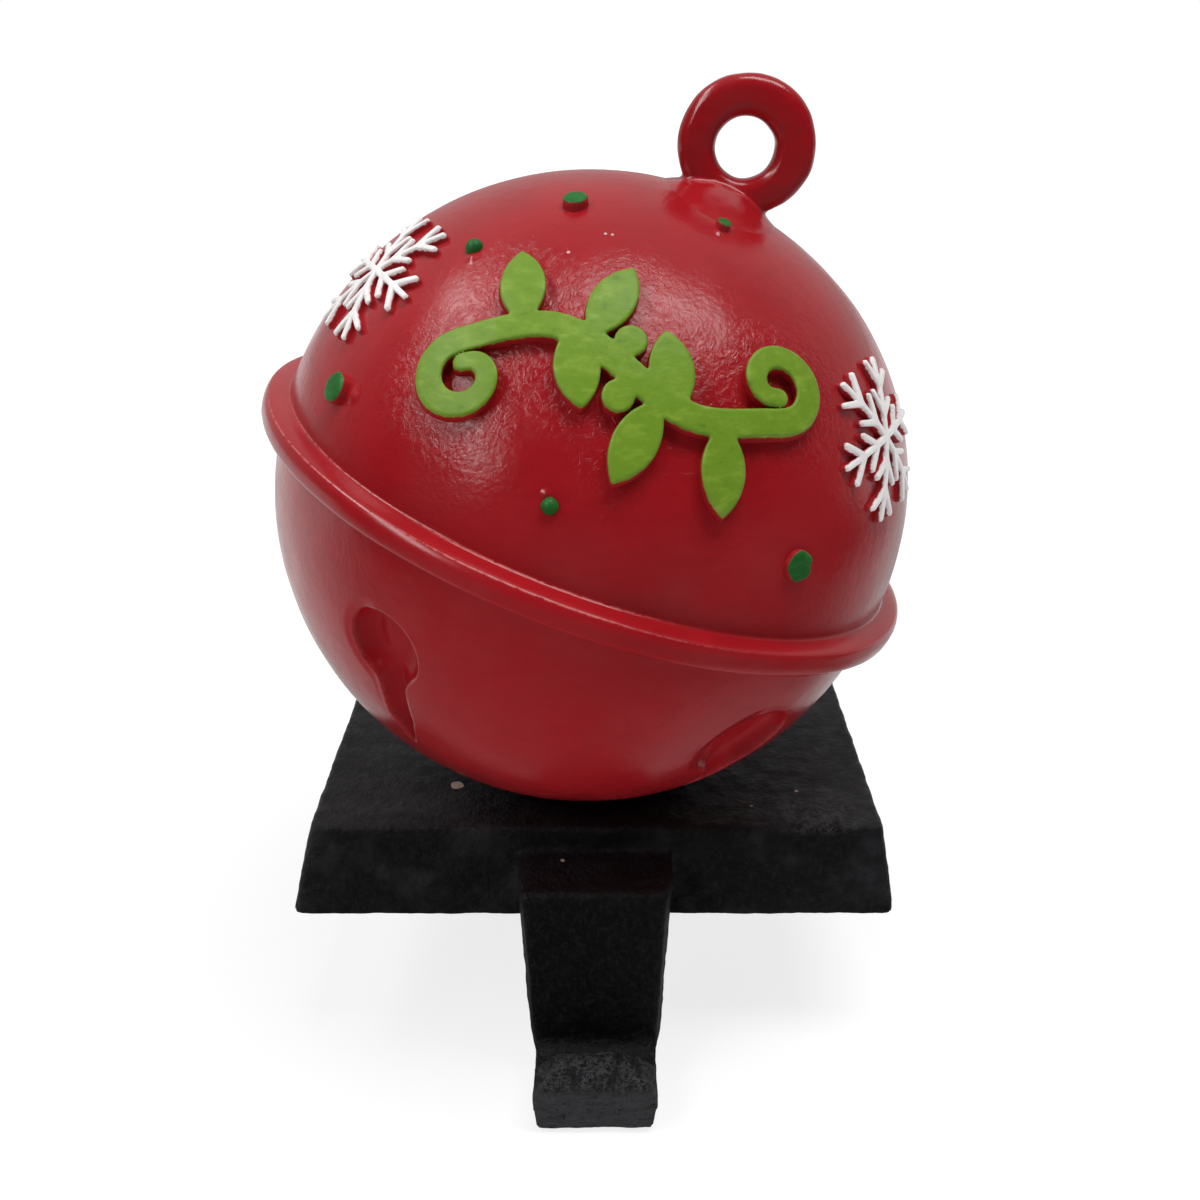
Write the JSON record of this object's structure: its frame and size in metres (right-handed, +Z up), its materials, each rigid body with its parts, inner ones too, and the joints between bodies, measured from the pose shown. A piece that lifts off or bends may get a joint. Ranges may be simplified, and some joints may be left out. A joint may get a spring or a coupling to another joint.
{
  "type": "mantel stocking holder",
  "caption": "Shelf-top holder for a hanging stocking: a leaning sleigh bell with raised snowflakes and a leafy sprig on a cast iron base that ends in a hook.",
  "frame": {"origin": "middle of the underside of the pad, on the shelf's top surface", "axes": "+Z up, +Y back over the shelf, +X to the right of someone facing the shelf; the hook hangs at -Y"},
  "size_m": [0.1114, 0.118, 0.1689],
  "materials": {
    "painted_iron": "black paint over a sandy casting, satin",
    "red_resin": "brushed red paint, glossy",
    "lime_paint": "lime green enamel on the sprig, satin",
    "white_paint": "white enamel on the snowflakes",
    "green_paint": "dark green enamel on the dots",
    "zinc_steel": "zinc plated",
    "foam_pad": "fine closed-cell foam, matt"
  },
  "bodies": {
    "root": {"base_and_hook": "painted_iron", "jingle_bell": "red_resin", "bell_screw": "zinc_steel", "mantel_pad": "foam_pad"}
  },
  "joints": []
}
